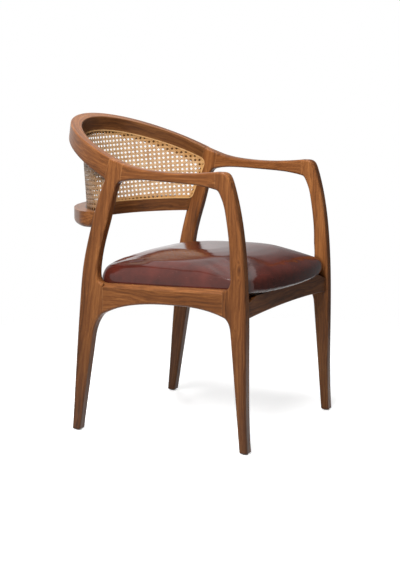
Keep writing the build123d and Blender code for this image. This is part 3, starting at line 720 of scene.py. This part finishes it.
# the sides stay full down to the hem, the shoulder is high, most of all at the back,
# and in front the hem hangs a little below the rail's top edge
HEM = 0.027
FULL_FROM, FULL_FADE = 0.03, 0.018  # how near the outline a point of the side is pushed out to it
TUCK = 0.004  # how far the very bottom stays drawn in
HANG, HANG_FROM, HANG_FADE = 0.006, 0.003, 0.008
SHOULDER, SHOULDER_ROOM = 0.003, 0.012  # its rise, and how far inside the outline it is highest
BACK_RISE, BACK_FROM, BACK_FADE = 0.010, 0.05, 0.25
for v in cushion.data.vertices:
    bearing, out = bearing_of(v.co)
    height, along = seat_height(v.co), seat_depth(v.co)
    room = max(outline_at(bearing) - out, 0.0)
    if height < HEM:
        outward = Vector((cos(bearing), 0, 0)) + seat_along * sin(bearing)
        low = 1 - max(height, 0.0) / HEM
        share = clamp((FULL_FROM - room) / FULL_FADE)
        push = (room - TUCK * low**3) * share * share * (3 - 2 * share)
        if push > 0:
            v.co += outward * push
        ahead = -seat_depth(v.co) - HANG_FROM
        v.co -= seat_up * HANG * low * clamp(ahead / HANG_FADE)
    else:
        full = SHOULDER + BACK_RISE * clamp((along - BACK_FROM) / BACK_FADE)
        v.co += seat_up * full * (room / SHOULDER_ROOM) * exp(1 - room / SHOULDER_ROOM)
even_out(cushion, 4)

HELD_BELOW, HELD_FADE = 0.046, 0.018  # the cloth's sides are held, and its top is free
FRAMES = 20
MOST_MOVE = 0.004
start = [v.co.copy() for v in cushion.data.vertices]
held = cushion.vertex_groups.new(name="held")
for v in cushion.data.vertices:
    held.add([v.index], clamp((HELD_BELOW - seat_height(v.co)) / HELD_FADE), "REPLACE")
sim = cushion.modifiers.new("cloth", "CLOTH")
settings = sim.settings
settings.quality = 5
settings.mass = 0.3
settings.tension_stiffness = 20
settings.compression_stiffness = 20
settings.shear_stiffness = 10
settings.bending_stiffness = 2
settings.use_pressure = True
settings.uniform_pressure_force = 4.0
settings.effector_weights.gravity = 0.0
settings.vertex_group_mass = "held"
settings.pin_stiffness = 1.0
sim.collision_settings.use_collision = False
sim.point_cache.frame_start = 1
sim.point_cache.frame_end = FRAMES
scene.frame_start = 1
scene.frame_end = FRAMES
for number in range(1, FRAMES + 1):
    scene.frame_set(number)
apply_modifiers(cushion)
scene.frame_set(1)
for v, old in zip(cushion.data.vertices, start):
    move = v.co - old
    if move.length > MOST_MOVE:
        v.co = old + move * (MOST_MOVE / move.length)
fill_out(cushion.data)
even_out(cushion, 8)
SKIN, SKIN_ABOVE = 0.0008, 0.004  # what smoothing took away is put back, except at the hem
normals = [v.normal.copy() for v in cushion.data.vertices]
for v, normal in zip(cushion.data.vertices, normals):
    if seat_height(v.co) > SKIN_ABOVE:
        v.co += normal * SKIN

# the recess under the seat, where the dust cover shows inside the hem
MOUTH_ROOM = 0.0006
MOUTH_FOOT, MOUTH_ROOF = -0.02, 0.0024
DUST_MIDDLE = 0.0011  # halfway up the dust cover
mouth = hull_of("dust_cover", "mouth")
middle = sum((v.co for v in mouth.data.vertices), Vector()) / len(mouth.data.vertices)
for v in mouth.data.vertices:
    off = v.co - middle
    flat = off - seat_up * off.dot(seat_up)
    grown = flat * (1 + MOUTH_ROOM / max(flat.length, NEARLY_NONE))
    level = MOUTH_FOOT if seat_height(v.co) < DUST_MIDDLE else MOUTH_ROOF
    base = middle + grown
    v.co = base + seat_up * (level - seat_height(base))
cut = cushion.modifiers.new("mouth", "BOOLEAN")
cut.operation = "DIFFERENCE"
cut.solver = "EXACT"
cut.object = mouth
apply_modifiers(cushion)
bpy.data.objects.remove(mouth)
finer = cushion.modifiers.new("finer", "SUBSURF")
finer.levels = 1
finer.render_levels = 1
apply_modifiers(cushion)
cushion.data.materials.clear()
cushion.data.materials.append(leather_finish)
cushion.data.polygons.foreach_set("use_smooth", [True] * len(cushion.data.polygons))
cushion.data.set_sharp_from_angle(angle=radians(50))
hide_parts("seat_cover", "seat_foam")
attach(cushion, "root")

# Dust cover: a thin cloth under the seat, which sags a little in the middle
RIM_POINTS = 180
RINGS = np.r_[np.linspace(1.0, 0.06, 30), 0.0]
SAG, SAG_REACH, RIPPLE = 0.004, 0.15, 0.0004
form = hull_of("dust_cover", "dust_form")
flat_points = np.array([[v.co.x, seat_depth(v.co)] for v in form.data.vertices])
dust_low = min(seat_height(v.co) for v in form.data.vertices)
dust_high = max(seat_height(v.co) for v in form.data.vertices)
bpy.data.objects.remove(form)
centre = (flat_points.max(0) + flat_points.min(0)) / 2
offset = flat_points - centre
turn = np.arctan2(offset[:, 1], offset[:, 0])
order = np.argsort(turn)
bearing = np.linspace(-pi, pi, RIM_POINTS, endpoint=False)
rim_x = np.interp(bearing, turn[order], offset[order, 0], period=2 * pi)
rim_y = np.interp(bearing, turn[order], offset[order, 1], period=2 * pi)
rim = np.stack([rim_x, rim_y], -1)
dust_points, dust_faces = [], []
for level in (dust_low, dust_high):
    for share in RINGS:
        for x, y in rim * share:
            inward = max(0.0, 1 - (x * x + y * y) / SAG_REACH**2)
            wavy = RIPPLE * sin(60 * x + 25 * y) * sin(45 * y)
            sag = inward * inward * (SAG + wavy)
            spot = seat_origin + Vector((centre[0] + x, 0, 0)) + seat_along * (centre[1] + y)
            dust_points.append(spot + seat_up * (level - sag))
around, deep = len(rim), len(RINGS)
for top in (0, 1):
    for j in range(deep - 1):
        for i in range(around):
            a = (top * deep + j) * around + i
            b = (top * deep + j) * around + (i + 1) % around
            face = (a, b, b + around, a + around)
            dust_faces.append(face if top else face[::-1])
for i in range(around):
    a, b = i, (i + 1) % around
    dust_faces.append((a, b, b + deep * around, a + deep * around))
dust = new_object("dust_sheet", dust_points, dust_faces, cloth_finish)
form = bmesh.new()
form.from_mesh(dust.data)
bmesh.ops.remove_doubles(form, verts=form.verts, dist=NEARLY_NONE)
bmesh.ops.recalc_face_normals(form, faces=form.faces)
form.to_mesh(dust.data)
form.free()
dust.data.set_sharp_from_angle(angle=radians(40))
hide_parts("dust_cover")
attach(dust, "root")

# Stage: a pale floor that fades into the white background
FLOOR_HALF = 3.0
FLOOR_GLOW = 0.6
FLOOR_SEEN, FLOOR_LIT = (0.92, 0.92, 0.92, 1), (0.4, 0.4, 0.4, 1)
g = Graph("floor")
fade = g.ramp(
    g.math("MULTIPLY", g.vector("LENGTH", g.place()), 0.5), [(0.3, WHITE), (0.75, BLACK)]
)
ray = g.add("ShaderNodeLightPath").outputs
shown = g.math("MAXIMUM", ray["Is Camera Ray"], ray["Is Glossy Ray"])
shown = g.math("MAXIMUM", shown, ray["Is Transmission Ray"])
# the floor looks white, but throws back less light than it would
g.finish(
    Base_Color=g.mix(shown, FLOOR_LIT, FLOOR_SEEN),
    Roughness=0.7,
    Emission_Color=(1, 1, 1, 1),
    Emission_Strength=g.math("MULTIPLY", shown, FLOOR_GLOW),
)
clear = g.add("ShaderNodeBsdfTransparent").outputs[0]
blend = g.add("ShaderNodeMixShader", {0: fade, 1: clear, 2: g.shader.outputs[0]})
g.feed(g.tree.nodes["Material Output"].inputs["Surface"], blend.outputs[0])
corner_signs = ((-1, -1), (1, -1), (1, 1), (-1, 1))
floor_corners = [(x * FLOOR_HALF, y * FLOOR_HALF, 0) for x, y in corner_signs]
floor = new_object("floor", floor_corners, [(0, 1, 2, 3)], g.material)

# World: white to the eye and in reflections, and a soft even light
SOFT, BRIGHT = 0.11, 1.0
world = bpy.data.worlds.new("studio")
scene.world = world
world.use_nodes = True
tree = world.node_tree
tree.nodes.clear()


def either_of(a, b):
    node = tree.nodes.new("ShaderNodeMath")
    node.operation = "MAXIMUM"
    tree.links.new(a, node.inputs[0])
    tree.links.new(b, node.inputs[1])
    return node.outputs[0]


def background(strength):
    node = tree.nodes.new("ShaderNodeBackground")
    node.inputs["Color"].default_value = (1, 1, 1, 1)
    node.inputs["Strength"].default_value = strength
    return node.outputs[0]


ray = tree.nodes.new("ShaderNodeLightPath").outputs
shiny = either_of(ray["Is Glossy Ray"], ray["Is Transmission Ray"])
seen = either_of(ray["Is Camera Ray"], shiny)
sky = tree.nodes.new("ShaderNodeMixShader")
for socket, value in zip(sky.inputs, (seen, background(SOFT), background(BRIGHT))):
    tree.links.new(value, socket)
sky_output = tree.nodes.new("ShaderNodeOutputWorld")
tree.links.new(sky.outputs[0], sky_output.inputs["Surface"])


def lamp(name, place, aim, size, power, spread):
    data = bpy.data.lights.new(name, "AREA")
    data.shape = "DISK"
    data.size = size
    data.energy = power
    data.spread = radians(spread)
    obj = bpy.data.objects.new(name, data)
    obj.location = place
    obj.rotation_euler = (Vector(aim) - Vector(place)).to_track_quat("-Z", "Y").to_euler()
    scene.collection.objects.link(obj)
    return obj


key = lamp("key", (-1.85, -0.4, 2.05), (0, 0.05, 0.75), size=1.2, power=17.5, spread=75)
lamp("over", (-0.5, 0.0, 2.6), (0, 0, 0.6), size=1.0, power=15, spread=120)
fill = lamp("fill", (1.9, 1.5, 1.5), (0, 0, 0.5), size=1.0, power=6, spread=90)
# gloss shows the white room and the top lamp, without the glare of these two
for side_lamp in (key, fill):
    side_lamp.visible_glossy = False

# a dark card beside the chair, paler towards the back and seen only in reflections
CARD_FRONT, CARD_BACK, CARD_HEIGHT = (0.35, -2.0), (2.3, 1.4), 2.2
CARD_DARK, CARD_PALE = (0.13, 0.13, 0.13), (0.95, 0.95, 0.95)
g = Graph("card")
from_front = g.math("ADD", g.split(g.place())[1], -CARD_FRONT[1])
share = g.math("DIVIDE", from_front, CARD_BACK[1] - CARD_FRONT[1])
g.finish(
    Base_Color=(0.02, 0.02, 0.02, 1),
    Roughness=0.9,
    Specular_IOR_Level=0.0,
    Emission_Color=g.ramp(share, [(0.62, CARD_DARK), (1.0, CARD_PALE)]),
    Emission_Strength=1.0,
)
card_foot = [(*CARD_FRONT, 0.0), (*CARD_BACK, 0.0)]
card_top = [(*CARD_BACK, CARD_HEIGHT), (*CARD_FRONT, CARD_HEIGHT)]
card = new_object("card", card_foot + card_top, [(0, 1, 2, 3)], g.material)
card.visible_camera = False
card.visible_diffuse = False
card.visible_transmission = False
card.visible_shadow = False

# Camera, fitted to the photograph
AZIMUTH, ELEVATION, DISTANCE = radians(-61.48743), radians(9.173938), 3.561208
FOCAL_PIXELS, PHOTO_HEIGHT, SENSOR = 1356.7612, 570, 36
target = Vector((0, 0.01779718 + SHIFT, 0.35959391))
level = cos(ELEVATION)
backward = Vector((sin(AZIMUTH) * level, -cos(AZIMUTH) * level, sin(ELEVATION)))
camera_data = bpy.data.cameras.new("camera")
camera_data.sensor_width = SENSOR
camera_data.lens = FOCAL_PIXELS / PHOTO_HEIGHT * SENSOR
camera = bpy.data.objects.new("camera", camera_data)
camera.location = target + backward * DISTANCE
camera.rotation_euler = backward.to_track_quat("Z", "Y").to_euler()
scene.collection.objects.link(camera)
scene.camera = camera
scene.view_settings.view_transform = "Standard"
